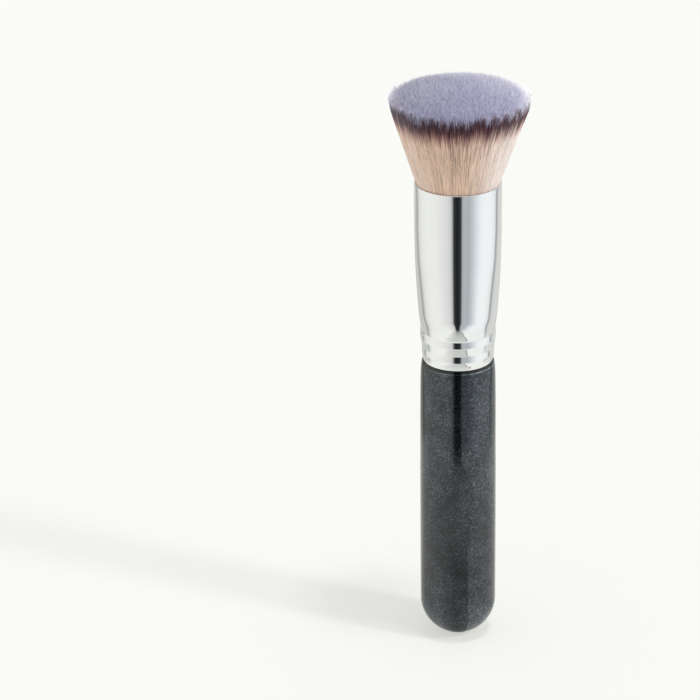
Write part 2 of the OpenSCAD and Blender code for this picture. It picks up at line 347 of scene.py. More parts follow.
def addPaintedMirrorShade(tree, values, position, distance):
    # how much of the painted dark strip, a painted reflection of shade, is at each place of the
    # floor
    reach, span = values["mirrorReach"], values["mirrorSpan"]
    away = addNode(tree, "ShaderNodeMapRange", {"Value": distance, "From Max": reach * millimetre})
    darker, wide, edge = (
        addNode(tree, "ShaderNodeValToRGB", {"Fac": away}, stops=[
            (place / reach, greyHex(level / most)) for place, level in values[name]]
        ).outputs["Color"]
        for name, most in (("paintedMirrorShade", 1), ("mirrorWide", 90), ("mirrorEdge", 1)))
    turn = addTurn(tree, addNode(tree, "ShaderNodeSeparateXYZ", {"Vector": position}))
    quarters = addNode(tree, "ShaderNodeMath", {0: turn, 1: math.pi / 2}, operation="DIVIDE")
    sideways = addNode(tree, "ShaderNodeMath", {0: quarters, 1: wide}, operation="DIVIDE")
    sidewaysPlace = addNode(tree, "ShaderNodeMapRange", {
        "Value": sideways, "From Min": -span, "From Max": span})
    across, atEdge = (
        addNode(tree, "ShaderNodeValToRGB", {"Fac": sidewaysPlace}, stops=[
            ((place + span) / (2 * span), greyHex(level)) for place, level in values[name]]
        ).outputs["Color"]
        for name in ("mirrorAcross", "mirrorEdgeAcross"))
    body = addNode(tree, "ShaderNodeMath", {0: darker, 1: across}, operation="MULTIPLY")
    line = addNode(tree, "ShaderNodeMath", {0: edge, 1: atEdge}, operation="MULTIPLY")
    strip = addNode(tree, "ShaderNodeMath", {0: body, 1: line}, operation="MAXIMUM")
    return strip


def makeFloor(values):
    # matt paper; mirrors lose it past a radius, where the panels of the ring take over
    material, tree = newMaterial("mattPaperFloor")
    position = addNode(tree, "ShaderNodeNewGeometry").outputs["Position"]
    fibres = addNode(tree, "ShaderNodeTexNoise", {
        "Vector": position, "Scale": 900.0, "Detail": 2.0})  # 1 mm mottle of the paper
    lighter, other = (toLinear(colour) for colour in values["floorColours"])
    tone = addNode(tree, "ShaderNodeMix", {
        0: fibres.outputs["Fac"], 6: lighter, 7: other}, data_type="RGBA")
    paper = addNode(tree, "ShaderNodeBsdfPrincipled", {
        "Base Color": tone.outputs[2], "Roughness": 0.9, "Specular IOR Level": 0.0})
    paths, seen = addSeenShare(tree)
    glossy = paths.outputs["Is Glossy Ray"]
    share = addNode(tree, "ShaderNodeMath", {0: seen, 1: values["floorGlow"]}, operation="MULTIPLY")
    glow = addNode(tree, "ShaderNodeEmission", {
        "Color": toLinear(values["background"]), "Strength": 1.0})
    lit = addNode(tree, "ShaderNodeMixShader", {0: share, 1: paper, 2: glow})
    distance = addNode(tree, "ShaderNodeVectorMath", {
        0: position}, operation="LENGTH").outputs["Value"]
    # painted reflection of shade: mirrors see a dark strip on the floor before the brush
    strip = addPaintedMirrorShade(tree, values, position, distance)
    stripShown = addNode(tree, "ShaderNodeMath", {0: strip, 1: glossy}, operation="MULTIPLY")
    shade = addNode(tree, "ShaderNodeEmission", {
        "Color": toLinear(values["paintedShadeColour"]), "Strength": 1.0})
    striped = addNode(tree, "ShaderNodeMixShader", {0: stripShown, 1: lit, 2: shade})
    near, far = (radius * millimetre for radius in values["mirrorFloor"])
    faded = addNode(tree, "ShaderNodeMapRange", {
        "Value": distance, "From Min": near, "From Max": far}, interpolation_type="SMOOTHSTEP")
    lost = addNode(tree, "ShaderNodeMath", {0: faded, 1: glossy}, operation="MULTIPLY")
    clear = addNode(tree, "ShaderNodeBsdfTransparent")
    mixed = addNode(tree, "ShaderNodeMixShader", {0: lost, 1: striped, 2: clear})
    finishMaterial(tree, mixed)
    half = values["floorHalf"]
    floor = meshFromArrays(
        "floor", [(-half, -half, 0), (half, -half, 0), (half, half, 0), (-half, half, 0)],
        [0, 1, 2, 3], [4], [(0, 0), (1, 0), (1, 1), (0, 1)])
    floor.data.materials.append(material)


makeWorld(studio)
makeLamps(studio)
makeFloor(studio)
print("studio made")


# ---- hidden pieces: the glue and the thread are the CAD solids; the handle makes its own wood

hidden = {
    # material, light and dark colour, roughness, stretch, and pattern repeats in a metre
    # turned birch, bare: dull, with 3 mm grain drawn out along the handle
    "handle_core": ("turnedBirch", "#c39a6b", "#a87f52", 0.55, (1, 1, 0.08), 300.0),
    # set epoxy film: amber and glossy, with 2.5 mm clouds
    "tenon_glue": ("epoxyFilm", "#c9b277", "#bca468", 0.3, (1, 1, 1), 400.0),
    # waxed cotton thread: off-white and soft, with 0.7 mm of twist
    "binding_thread": ("waxedCotton", "#e8e2d0", "#d2c9b2", 0.7, (1, 1, 6), 1500.0),
    # cast epoxy: amber and glossy, with 4 mm clouds
    "root_plug": ("castEpoxy", "#c4ab6a", "#b39a5c", 0.25, (1, 1, 1), 250.0),
}


def makeGrainMaterial(name, light, dark, roughness, stretch, scale):
    material, tree = newMaterial(name)
    position = addNode(tree, "ShaderNodeTexCoord").outputs["Object"]
    mapped = addNode(tree, "ShaderNodeMapping", {"Vector": position, "Scale": stretch})
    grain = addNode(tree, "ShaderNodeTexNoise", {
        "Vector": mapped, "Scale": scale, "Detail": 4.0, "Distortion": 0.4})
    tone = addNode(tree, "ShaderNodeMix", {
        0: grain.outputs["Fac"], 6: toLinear(light), 7: toLinear(dark)}, data_type="RGBA")
    bump = addNode(tree, "ShaderNodeBump", {
        "Height": grain.outputs["Fac"], "Strength": 0.3, "Distance": 0.03 * millimetre})
    shader = addNode(tree, "ShaderNodeBsdfPrincipled", {
        "Base Color": tone.outputs[2], "Roughness": roughness, "Normal": bump})
    finishMaterial(tree, shader)
    return material


for node in ("tenon_glue", "binding_thread", "root_plug"):
    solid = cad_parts[node]
    solid.data.materials.clear()
    solid.data.materials.append(makeGrainMaterial(*hidden[node]))
print("hidden pieces made")


# ---- handle: turned wood under a black glitter lacquer

handle = {
    "length": 72.05,
    "footRadius": 2.0,  # of the flat that the handle stands on
    "footRound": 2.0,
    "endHeight": 8.9,  # where the round end becomes the straight grip
    # the grip's radius by height, up to the soft shoulder under the ferrule
    "grip": [(8.9, 9.15), (20, 9.17), (36, 9.16), (46, 9.13), (51, 9.09), (61, 9.01),
             (66.5, 8.95), (68.5, 8.91), (69.6, 8.865), (70.6, 8.78), (71.2, 8.7), (71.7, 8.6),
             (72.05, 8.44)],
    "shoulderFrom": 66,  # the outline has finer steps from here up
    "outlineSteps": (8, 24, 30, 26),  # on the foot's edge, the round end, the grip, the shoulder
    "coat": 0.25,
    "tenonRadius": 7.95,
    # the tenon under the ferrule, of the wood inside
    "tenon": [(7.95, 71.8), (7.95, 74.4), (8.08, 76.0), (8.2, 78.1), (8.2, 88.4), (7.4, 89.2),
              (0.0, 89.2)],
    "segments": 192,
    "coreSegments": 96,
    "lacquer": "#0b0c0e",
    # flakes from dull to bright, and how many are duller than each
    "flakes": [(0.0, "#1b1e20"), (0.25, "#2a4447"), (0.5, "#31353a"), (0.8, "#474050"),
               (0.95, "#545d64"), (1.0, "#676d73")],
    "flakeSize": 0.23,  # real ones are 0.05 to 0.1 mm; drawn coarse so that they show
    "hueRange": (0.25, 1.3),  # a flake's chance plus its drift, from dullest to brightest
    "amountRange": (0.45, 1.35),  # a flake's chance plus its cloud, from thinnest to thickest
    "amount": (0.15, 1.0),  # how much of the flakes' colour shows, least and most
    # painted light and shade: how light the lacquer is by height, then left to right within a reach
    # of the axis
    "tone": [(0, 1.28), (8.5, 1.2), (13, 0.76), (22, 0.59), (36, 0.78), (50, 1.0), (71.3, 1.0),
             (71.55, 0.12)],
    "paintedLightMost": 1.3,  # a ramp ends at 1, so tones are divided by this in it
    "paintedSideLight": (0.82, 1.12),
    "sideReach": 6,
    "paintedSheenFacing": (0.4, 0.6),  # painted sheen: how far the surface turns away where the lacquer is made lighter
    "paintedSheenTone": 1.5,
    "paintedHighlightLine": (71.25, 71.5, 71.75),  # heights of the painted highlight line under the ferrule
    "paintedHighlightColour": "#a9bab8",
    "paintedHighlightSides": (-9, 6),  # where it is faintest and where it is full
    "paintedHighlightFaint": 0.05,
    "metallic": 0.95,
    "roughness": 0.155,
    "edgeTint": (0.25, 0.25, 0.25, 1.0),
    "coatRoughness": 0.03,
    "coatIor": 1.5,
}


def handleOutline(values, depth):
    # from the foot's middle up to the shoulder, as far inside the surface as the depth
    footRound, endHeight, length = values["footRound"], values["endHeight"], values["length"]
    footSteps, endSteps, gripSteps, shoulderSteps = values["outlineSteps"]
    blend = math.degrees(math.atan2(endHeight - footRound, values["footRadius"]))
    radius = values["grip"][0][1]
    points = [(0.0, depth)]
    points += arcPoints(
        (values["footRadius"], footRound), footRound - depth, -90, -blend, footSteps)
    points += arcPoints((0, endHeight), radius - depth, -blend, 0, endSteps)[1:]
    heights = np.concatenate([
        np.linspace(endHeight, values["shoulderFrom"], gripSteps)[1:],
        np.linspace(values["shoulderFrom"], length, shoulderSteps)[1:]])
    points += [(smoothCurve(values["grip"], z) - depth, min(z, length - depth)) for z in heights]
    return points


def addPaintedLacquerLight(tree, values, place):
    # painted light and shade: how light the lacquer is at each place
    length, most = values["length"], values["paintedLightMost"]
    up = addNode(tree, "ShaderNodeMapRange", {
        "Value": place.outputs["Z"], "From Max": length * millimetre})
    byHeight = addNode(tree, "ShaderNodeValToRGB", {"Fac": up}, stops=[
        (z / length, greyHex(level / most)) for z, level in values["tone"]])
    reach = values["sideReach"] * millimetre
    left, right = values["paintedSideLight"]
    bySide = addNode(tree, "ShaderNodeMapRange", {
        "Value": place.outputs["X"], "From Min": -reach, "From Max": reach,
        "To Min": left * most, "To Max": right * most})
    facingFrom, facingTo = values["paintedSheenFacing"]
    # painted sheen: the lacquer is lighter where the surface turns away from the view
    paintedSheen = addNode(tree, "ShaderNodeMapRange", {
        "Value": addNode(tree, "ShaderNodeLayerWeight").outputs["Facing"],
        "From Min": facingFrom, "From Max": facingTo, "To Min": 1.0, "To Max": values["paintedSheenTone"]})
    sided = addNode(tree, "ShaderNodeMath", {0: bySide, 1: paintedSheen}, operation="MULTIPLY")
    level = addNode(tree, "ShaderNodeMath", {
        0: byHeight.outputs["Color"], 1: sided}, operation="MULTIPLY")
    return level


def addPaintedHighlightLine(tree, values, place, amount):
    # painted highlight: how bright the lacquer is along the line under the ferrule, in patches
    low, middle, high = (z * millimetre for z in values["paintedHighlightLine"])
    rise, fall = (
        addNode(tree, "ShaderNodeMapRange", {
            "Value": place.outputs["Z"], "From Min": end, "From Max": middle},
            interpolation_type="SMOOTHSTEP")
        for end in (low, high))
    faintest, full = (x * millimetre for x in values["paintedHighlightSides"])
    side = addNode(tree, "ShaderNodeMapRange", {
        "Value": place.outputs["X"], "From Min": faintest, "From Max": full,
        "To Min": values["paintedHighlightFaint"], "To Max": 1.0})
    ridge = addNode(tree, "ShaderNodeMath", {0: rise, 1: fall}, operation="MULTIPLY")
    patchy = addNode(tree, "ShaderNodeMath", {0: side, 1: amount}, operation="MULTIPLY")
    paintedHighlight = addNode(tree, "ShaderNodeMath", {0: ridge, 1: patchy}, operation="MULTIPLY")
    return paintedHighlight


def makeLacquerMaterial(values):
    # glitter lacquer, sprayed and polished: a clear glossy coat over near-black with fine flakes
    material, tree = newMaterial("glitterLacquer")
    position = addNode(tree, "ShaderNodeTexCoord").outputs["Object"]
    cells = addNode(tree, "ShaderNodeTexVoronoi", {
        "Vector": position, "Scale": 1 / (values["flakeSize"] * millimetre)})
    pick = addNode(tree, "ShaderNodeSeparateColor", {"Color": cells.outputs["Color"]})
    drifts = addNode(tree, "ShaderNodeTexNoise", {
        "Vector": position, "Scale": 130.0, "Detail": 2.0})  # 8 mm drifts from teal to violet
    hue = addNode(tree, "ShaderNodeMath", {
        0: drifts.outputs["Fac"], 1: pick.outputs["Red"]}, operation="ADD")
    dullest, brightest = values["hueRange"]
    hueShare = addNode(tree, "ShaderNodeMapRange", {
        "Value": hue, "From Min": dullest, "From Max": brightest})
    tint = addNode(tree, "ShaderNodeValToRGB", {"Fac": hueShare}, stops=values["flakes"])
    clouds = addNode(tree, "ShaderNodeTexNoise", {
        "Vector": position, "Scale": 260.0, "Detail": 3.0})  # 4 mm clouds, thick or thin
    thickness = addNode(tree, "ShaderNodeMath", {
        0: clouds.outputs["Fac"], 1: pick.outputs["Green"]}, operation="ADD")
    thinnest, thickest = values["amountRange"]
    least, most = values["amount"]
    amount = addNode(tree, "ShaderNodeMapRange", {
        "Value": thickness, "From Min": thinnest, "From Max": thickest,
        "To Min": least, "To Max": most})
    coated = addNode(tree, "ShaderNodeMix", {
        0: amount, 6: toLinear(values["lacquer"]), 7: tint.outputs["Color"]},
        data_type="RGBA")
    place = addNode(tree, "ShaderNodeSeparateXYZ", {"Vector": position})
    # painted light and shade by height and from left to right
    shaded = addNode(tree, "ShaderNodeHueSaturation", {
        "Color": coated.outputs[2], "Value": addPaintedLacquerLight(tree, values, place)})
    # painted highlight along the shoulder under the ferrule, fullest at the right
    paintedHighlight = addPaintedHighlightLine(tree, values, place, amount)
    base = addNode(tree, "ShaderNodeMix", {
        0: paintedHighlight, 6: shaded, 7: toLinear(values["paintedHighlightColour"])}, data_type="RGBA")
    tilt = addNode(tree, "ShaderNodeBump", {
        "Height": pick.outputs["Blue"], "Strength": 0.25, "Distance": 0.02 * millimetre})
    shader = addNode(tree, "ShaderNodeBsdfPrincipled", {
        "Base Color": base.outputs[2], "Metallic": values["metallic"],
        "Roughness": values["roughness"], "Normal": tilt,
        "Specular Tint": values["edgeTint"], "Coat Weight": 1.0,
        "Coat Roughness": values["coatRoughness"], "Coat IOR": values["coatIor"]})
    finishMaterial(tree, shader)
    return material


def makeHandle(values):
    tenonRadius, length = values["tenonRadius"], values["length"]
    inner = handleOutline(values, values["coat"])
    outline = handleOutline(values, 0)
    outline += [(tenonRadius, length), (tenonRadius, length - values["coat"])]
    outline += reversed(inner)
    coat = lathe("lacqueredHandle", outline, values["segments"])
    placePiece(coat, makeLacquerMaterial(values), "glitter_lacquer", "lacquer_coat")
    core = lathe("turnedCore", inner + values["tenon"], values["coreSegments"])
    placePiece(core, makeGrainMaterial(*hidden["handle_core"]), "handle_wood", "handle_core")


makeHandle(handle)
print("handle made")


# ---- ferrule: a drawn tube, polished, crimped on the tenon

ferrule = {
    "mouth": 116.7,
    "wall": 0.4,
    "innerRadius": 8.1,  # the tube is not narrower inside
    # outer radius by height: an edge turned in, a lower band, a slope, an upper band and a crimp
    "bands": [(72.05, 8.16), (72.35, 8.26), (72.8, 8.36), (73.4, 8.45), (73.9, 8.515),
              (74.4, 8.575), (75.98, 8.58), (76.08, 8.6), (77.98, 8.87), (78.14, 8.94),
              (79.75, 8.94), (79.95, 8.72)],
    # and the soft flare above it
    "flare": [(79.95, 8.72), (81, 8.885), (82, 9.028), (83, 9.16), (84, 9.265), (86, 9.42),
              (89.2, 9.64), (92.3, 9.83), (96.8, 10.04), (102, 10.15), (116.7, 10.19)],
    "straightFrom": 102,  # from here up a few rings are enough
    "outlineSteps": (170, 60, 8),  # on the bands, the flare and the straight
    "lowEdge": (0.04, 0.05),  # how far the lowest edge is rounded in, and up
    "edgeRound": 0.05,  # half the height over which any other edge is rounded off
    "edgeSamples": 9,
    "lipSteps": 12,
    "boreStep": 3,  # the bore has one ring for this many outside
    "segments": 256,
    "metal": ("#f3f4f4", "#eff0f1"),
    "roughness": 0.045,
    "roughnessSpread": (0.6, 1.5),
}


def ferruleRadii(z, values):
    return np.where(z < values["flare"][0][0], np.interp(z, *np.array(values["bands"]).T),
                    smoothCurve(values["flare"], z))


def ferruleOutline(values):
    low, high = values["bands"][0][0], values["flare"][0][0]
    edgeIn, edgeUp = values["lowEdge"]
    straight = values["straightFrom"]
    lipRound = values["wall"] / 2
    lip = values["mouth"] - lipRound
    bandSteps, flareSteps, straightSteps = values["outlineSteps"]
    heights = np.concatenate([
        np.linspace(low + edgeUp, high, bandSteps), np.linspace(high, straight, flareSteps)[1:],
        np.linspace(straight, lip, straightSteps)[1:]])
    offsets = np.linspace(-values["edgeRound"], values["edgeRound"], values["edgeSamples"])
    # the groove over the crimp stays sharp
    limits = [(low, high - tiny) if z < high else (high, values["mouth"]) for z in heights]
    radii = np.array([
        np.mean(ferruleRadii(np.clip(z + offsets, *limit), values))
        for z, limit in zip(heights, limits)])
    outer = list(zip(radii, heights))
    top = arcPoints((radii[-1] - lipRound, lip), lipRound, 0, 180, values["lipSteps"])[1:]
    bore = np.maximum(radii - values["wall"], values["innerRadius"])
    step = values["boreStep"]
    inner = [(r, z) for r, z in zip(bore[:-1:step], heights[:-1:step])][::-1]
    return [(radii[0] - edgeIn, low)] + outer + top + inner + [(bore[0], low)]


def makePolishedAluminium(values):
    # polished aluminium: a bright mirror with faint marks of drawing along the tube
    material, tree = newMaterial("polishedAluminium")
    position = addNode(tree, "ShaderNodeTexCoord").outputs["Object"]
    stretched = addNode(tree, "ShaderNodeMapping", {"Vector": position, "Scale": (1, 1, 0.03)})
    lines = addNode(tree, "ShaderNodeTexNoise", {
        "Vector": stretched, "Scale": 5000.0, "Detail": 3.0})  # 0.2 mm drawing lines
    smoothest, roughest = (values["roughness"] * share for share in values["roughnessSpread"])
    rough = addNode(tree, "ShaderNodeMapRange", {
        "Value": lines.outputs["Fac"], "To Min": smoothest, "To Max": roughest})
    smears = addNode(tree, "ShaderNodeTexNoise", {
        "Vector": position, "Scale": 140.0, "Detail": 2.0})  # 7 mm smears of polish
    lighter, darker = (toLinear(colour) for colour in values["metal"])
    tone = addNode(tree, "ShaderNodeMix", {
        0: smears.outputs["Fac"], 6: lighter, 7: darker}, data_type="RGBA")
    bump = addNode(tree, "ShaderNodeBump", {
        "Height": lines.outputs["Fac"], "Strength": 0.04, "Distance": 0.01 * millimetre})
    shader = addNode(tree, "ShaderNodeBsdfPrincipled", {
        "Base Color": tone.outputs[2], "Metallic": 1.0, "Roughness": rough,
        "Normal": bump})
    finishMaterial(tree, shader)
    return material


def makeFerrule(values):
    tube = lathe("drawnFerrule", ferruleOutline(values), values["segments"])
    placePiece(tube, makePolishedAluminium(values), "ferrule_metal", "ferrule")


makeFerrule(ferrule)
print("ferrule made")


# ---- tuft: fine tapered fibres on a packed middle

tuft = {
    "seed": 7,
    "root": 101.2,
    "crown": 140.2,
    # radius of the bundle by height
    "envelope": [(101.2, 8.85), (108.7, 8.85), (112.5, 9.1), (116.1, 9.48), (117.2, 9.88),
                 (124.0, 12.22), (130.0, 14.22), (132.3, 14.98), (134.4, 15.6), (136.5, 16.1),
                 (138.5, 16.35), (141.0, 16.45)],
    "lean": 0.45,  # how far the crown stands to the right of the axis
    "leanPower": 1.3,
    "topFall": 1.2,  # how far the flat top falls from its middle to its edge
    "edgeFall": 1.8,  # and how far besides at the soft edge
    "edgePower": 8,
    # the packed middle: its share of the radius, where its side ends, how deep its top lies
    # its shade is painted shade: the middle is darker, as the gaps between the fibres are
    "packed": {"share": 0.955, "sideTop": 136.2, "depth": 1.5, "shade": 0.82,
               "sideSteps": 40, "topSteps": 14, "segments": 96},
    "pieces": 3,  # each kind of fibre is split, to keep its meshes small
    # full-length outer fibres: contrast is by how far round to the side a fibre stands
    "outer": {"count": 6200, "from": 0.95, "edgePower": 1.4, "stations": 13, "jagged": 1.0,
              "palest": 0, "contrast": ([0.2, 0.45, 0.9], [1.7, 0.66, 0.5]),
              "sideShade": 0.1, "rightShade": 0},
    # the upper length of inner fibres, which are pale for their last 1.6 mm at least
    "top": {"count": 13500, "to": 0.975, "length": 7.0, "stations": 6, "jagged": 0.45,
            "palest": 2, "contrast": ([0, 1], [0.45, 0.45]),
            "sideShade": 0, "rightShade": 0.14},
    "fibreRadius": 0.075,  # real ones are 0.035 to 0.05 mm; drawn coarser so they show
    "radiusSpread": (0.8, 1.2),
    "tipRadius": 0.018,
    "taperLength": 5.0,
    "taperPower": 0.7,
    "clumps": 320,  # in each ring
    "clumpRings": 12,
    "clumpPlace": (0.1, 0.9),  # where in its place a clump stands
    "clumpBlur": 0.6,  # how many clumps away a fibre's own may be
    "clumpPull": 0.24,
    "clumpLength": 0.12,
    "clumpShade": 0.1,
    "path": {
        "start": 0.1,  # above the root
        "stationPower": 0.85,  # stations stand closer near the tip
        "tipFall": 0.75,  # the most that a fibre is short of the top
        "tipPower": 1.6,  # the higher, the more of them are short by much
        "tipLeast": 0.2,  # each is then cut to a share between this and 1
        "rimFrom": (0.84, 0.13),  # share of the radius where the ragged rim starts, its width; its fibres carry painted light
        "rimAround": 0.85,  # the rim: none in front, most at the right and the back
        "rimRight": 0.2,
        "rimTips": (-0.7, 0.55),
        "stray": 0.13,  # how far a tip strays in or out, more at the rim
        "rimStray": 0.27,
        "strayPower": 3,
        "strayTurn": 0.022,  # and sideways, in radians
        "strayTurnPower": 1.5,
        "wave": 0.011,  # radians that a fibre swings to each side
        "waveLength": (9, 16),
        "waveRise": 4,
    },
    # undyed beige, two blends, plum twice and lilac, by height
    "dyes": [(129.6, "#eed1bd"), (131.3, "#c9a294"), (133.0, "#80595c"), (134.1, "#5a3a44"),
             (136.05, "#5a3a44"), (136.7, "#b5b4d1")],
    "dye": {
        "spread": 0.65,  # how far a fibre's bands stand from the next one's
        "clump": 0.9,  # and a clump's
        "steady": 0.65,  # how much of that the lowest bands have; the highest have all
        "fullFrom": (132, 4),
        "paleTop": 138.7,
    },
    "shade": {
        "spread": 0.28,  # how much fibres differ
        "swing": (0.25, 0.6),  # radians per millimetre by which one changes along its length
        "steady": 0.4,
        "changing": 0.75,
        "limits": (-0.5, 0.35),
        # painted light: fibres at the rim are lighter
        "rim": 0.16,
    },
    "paintedSideLightFrom": (0.15, 0.6),  # how far round to the side painted light starts to make fibres paler, and how far it goes
    "tip": "#f7f6fa",
    "paleTipsAndLight": {
        # tips are paler all round, and paler still at the right, the back and the rim, which is
        # painted light
        "all": 0.31,
        "back": 0.45,
        "right": 0.7,
        "rim": 0.3,
        "front": (0.2, 1.5),  # less at the front edge: how much, and how soon
        "edgeFrom": (0.9, 0.06),
        "length": 0.9,  # how far down it reaches, more at the rim
        "rimLength": 2.6,
        "rimPower": 0.5,
        "dyedFrom": (136.4, 0.6),
        # and painted light makes the sides a little paler, the undyed length most at the right
        "sideFrom": (0.45, 0.5),
        "rightSide": 0.05,
        "leftSide": 0.15,
        "undyedTop": 133,
        "undyedWidth": 3,
        "undyedRight": 0.8,
    },
}


def topHeight(share, values):
    return (values["crown"] - values["topFall"] * share**2
            - values["edgeFall"] * share ** values["edgePower"])


def spreadShare(heights, values):
    # 0 up to the ferrule's mouth, 1 at the crown
    return ramp(heights, ferrule["mouth"], values["crown"] - ferrule["mouth"])


def dyeShare(heights, values):
    # 0 at the root, 1 at the crown
    return (heights - values["root"]) / (values["crown"] - values["root"])


def tubeUv(fibres, stations):
    # each fibre has its own cell of the unwrapped square: its sides, and its caps over their ends
    columns = math.ceil(math.sqrt(fibres))
    cell = np.stack([np.arange(fibres) % columns, np.arange(fibres) // columns], axis=1) / columns
    station, side = np.meshgrid(np.arange(stations - 1), np.arange(tubeSides), indexing="ij")
    u = np.stack([side, side + 1, side + 1, side], axis=-1) / tubeSides
    w = np.stack([station, station, station + 1, station + 1], axis=-1) / (stations - 1)
    local = np.stack([0.1 + 0.8 * u, 0.1 + 0.75 * w], axis=-1)
    quadUv = (cell[:, None, None, None, :] + local[None] / columns).reshape(-1, 2)
    rootCap = np.array([[0.15, 0.11], [0.5, 0.14], [0.85, 0.11]])
    tipCap = np.array([[0.15, 0.84], [0.85, 0.84], [0.5, 0.84 - 0.03]])
    capUv = [(cell[:, None, :] + cap[None] / columns).reshape(-1, 2) for cap in (rootCap, tipCap)]
    return np.concatenate([quadUv] + capUv)


def fibreTubes(name, paths, radii, spin, across):
    # three-sided tubes along paths of (fibres, stations, 3); across is a side direction per fibre
    fibres, stations = radii.shape
    tangent = np.gradient(paths, axis=1)
    tangent /= np.linalg.norm(tangent, axis=2, keepdims=True)
    sideB = np.cross(tangent, across[:, None, :])
    sideB /= np.linalg.norm(sideB, axis=2, keepdims=True)
    sideA = np.cross(sideB, tangent)
    angles = spin[:, None] + np.arange(tubeSides) * fullTurn / tubeSides
    ring = (np.cos(angles)[:, None, :, None] * sideA[:, :, None, :]
            + np.sin(angles)[:, None, :, None] * sideB[:, :, None, :])
    points = (paths[:, :, None, :] + radii[:, :, None, None] * ring).reshape(-1, 3)
    number = np.arange(fibres * stations * tubeSides).reshape(fibres, stations, tubeSides)
    after = np.roll(number, -1, axis=2)
    quads = np.stack([number[:, :-1], after[:, :-1], after[:, 1:], number[:, 1:]], axis=-1)
    quads = quads.reshape(-1, 4)
    ends = np.concatenate([number[:, 0, ::-1], number[:, -1]])
    corners = np.concatenate([quads.ravel(), ends.ravel()])
    sizes = np.concatenate([np.full(len(quads), 4), np.full(len(ends), tubeSides)])
    return meshFromArrays(name, points, corners, sizes, tubeUv(fibres, stations))


def writeLayer(piece, name, levels):
    piece.data.attributes.new(name, "FLOAT", "POINT").data.foreach_set(
        "value", np.ascontiguousarray(levels, dtype=np.float32).ravel())


def makeClumps(values, random):
    # each clump's turn, and how its fibres' length, dye and shade differ from the others'
    count = values["clumps"]
    size = (values["clumpRings"] + 1, count)
    return {"turn": (np.arange(count) + random.uniform(*values["clumpPlace"], size))
            * fullTurn / count,
            "length": random.normal(0, values["clumpLength"], size),
            "dye": random.normal(0, 1, size),
            "shade": random.normal(0, values["clumpShade"], size)}


def fanOut(values, shares, startHeights, stations, clumps, random):
    # paths of fibres that spread from the root, ring for ring, with soft clumps
    path, count, blur = values["path"], len(shares), values["clumpBlur"]
    turn = random.uniform(0, fullTurn, count)
    column = np.floor(turn / fullTurn * values["clumps"] + random.uniform(-blur, blur, count))
    clump = (np.round(shares * values["clumpRings"]).astype(int),
             column.astype(int) % values["clumps"])
    away = (clumps["turn"][clump] - turn + math.pi) % fullTurn - math.pi
    tips = topHeight(shares, values) - (path["tipFall"]
                                        * random.power(path["tipPower"], count)[::-1]
                                        * random.uniform(path["tipLeast"], 1, count))
    tips += clumps["length"][clump]
    along = np.linspace(0, 1, stations)[None, :]
    around = path["rimAround"] + np.sin(turn) + path["rimRight"] * np.cos(turn)
    rim = ramp(shares, *path["rimFrom"]) * np.clip(around, 0, 1)
    tips += rim * random.uniform(*path["rimTips"], count)
    heights = (startHeights[:, None]
               + (tips - startHeights)[:, None] * along ** path["stationPower"])
    spread = spreadShare(heights, values)
    radius = shares[:, None] * smoothCurve(values["envelope"], heights)
    stray = random.normal(0, 1, count) * (path["stray"] + path["rimStray"] * rim)
    radius += stray[:, None] * spread ** path["strayPower"]
    angle = turn[:, None] + away[:, None] * values["clumpPull"] * spread
    strayTurn = random.normal(0, path["strayTurn"], count)
    angle += strayTurn[:, None] * spread ** path["strayTurnPower"]
    waveLength = random.uniform(*path["waveLength"], count)[:, None]
    phase = random.uniform(0, fullTurn, count)[:, None]
    waves = np.sin(fullTurn * heights / waveLength + phase)
    angle += path["wave"] * waves * np.clip(spread * path["waveRise"], 0, 1)
    leaning = values["lean"] * spread ** values["leanPower"]
    paths = np.stack([radius * np.cos(angle) + leaning, radius * np.sin(angle), heights], axis=-1)
    across = np.stack([-np.sin(turn), np.cos(turn), np.zeros(count)], axis=1)
    return {"paths": paths, "heights": heights, "toTip": tips[:, None] - heights,
            "clump": clump, "rim": rim, "turn": turn, "across": across}


def fibreDye(values, kind, shares, fan, clumps, random):
    # the height whose dye each point of a fibre has
    dye = values["dye"]
    own = random.normal(0, dye["spread"], len(shares))
    shift = kind["jagged"] * (own + dye["clump"] * clumps["dye"][fan["clump"]])
    shift += np.clip(dye["paleTop"] - topHeight(shares, values), 0, kind["palest"])
    full = ramp(fan["heights"], *dye["fullFrom"])
    return fan["heights"] + shift[:, None] * (dye["steady"] + (1 - dye["steady"]) * full)


def fibreShade(values, kind, shares, fan, clumps, random):
    # each fibre is lighter here and darker there, as it catches the light
    shade, count, right = values["shade"], len(shares), np.cos(fan["turn"])
    phase = random.uniform(0, fullTurn, count)[:, None]
    phase = phase + fan["heights"] * random.uniform(*shade["swing"], count)[:, None]
    own = random.normal(0, shade["spread"], count) + clumps["shade"][fan["clump"]]
    own = own * np.interp(np.abs(right), *kind["contrast"])
    swing = own[:, None] * (shade["steady"] + shade["changing"] * np.cos(phase))
    level = 1 + np.clip(swing, *shade["limits"]) + shade["rim"] * fan["rim"][:, None]
    sideStart, sideEnd = values["paintedSideLightFrom"]
    level += kind["sideShade"] * np.clip(np.abs(right) - sideStart, 0, sideEnd)[:, None]
    level += kind["rightShade"] * (shares * right)[:, None]
    return level


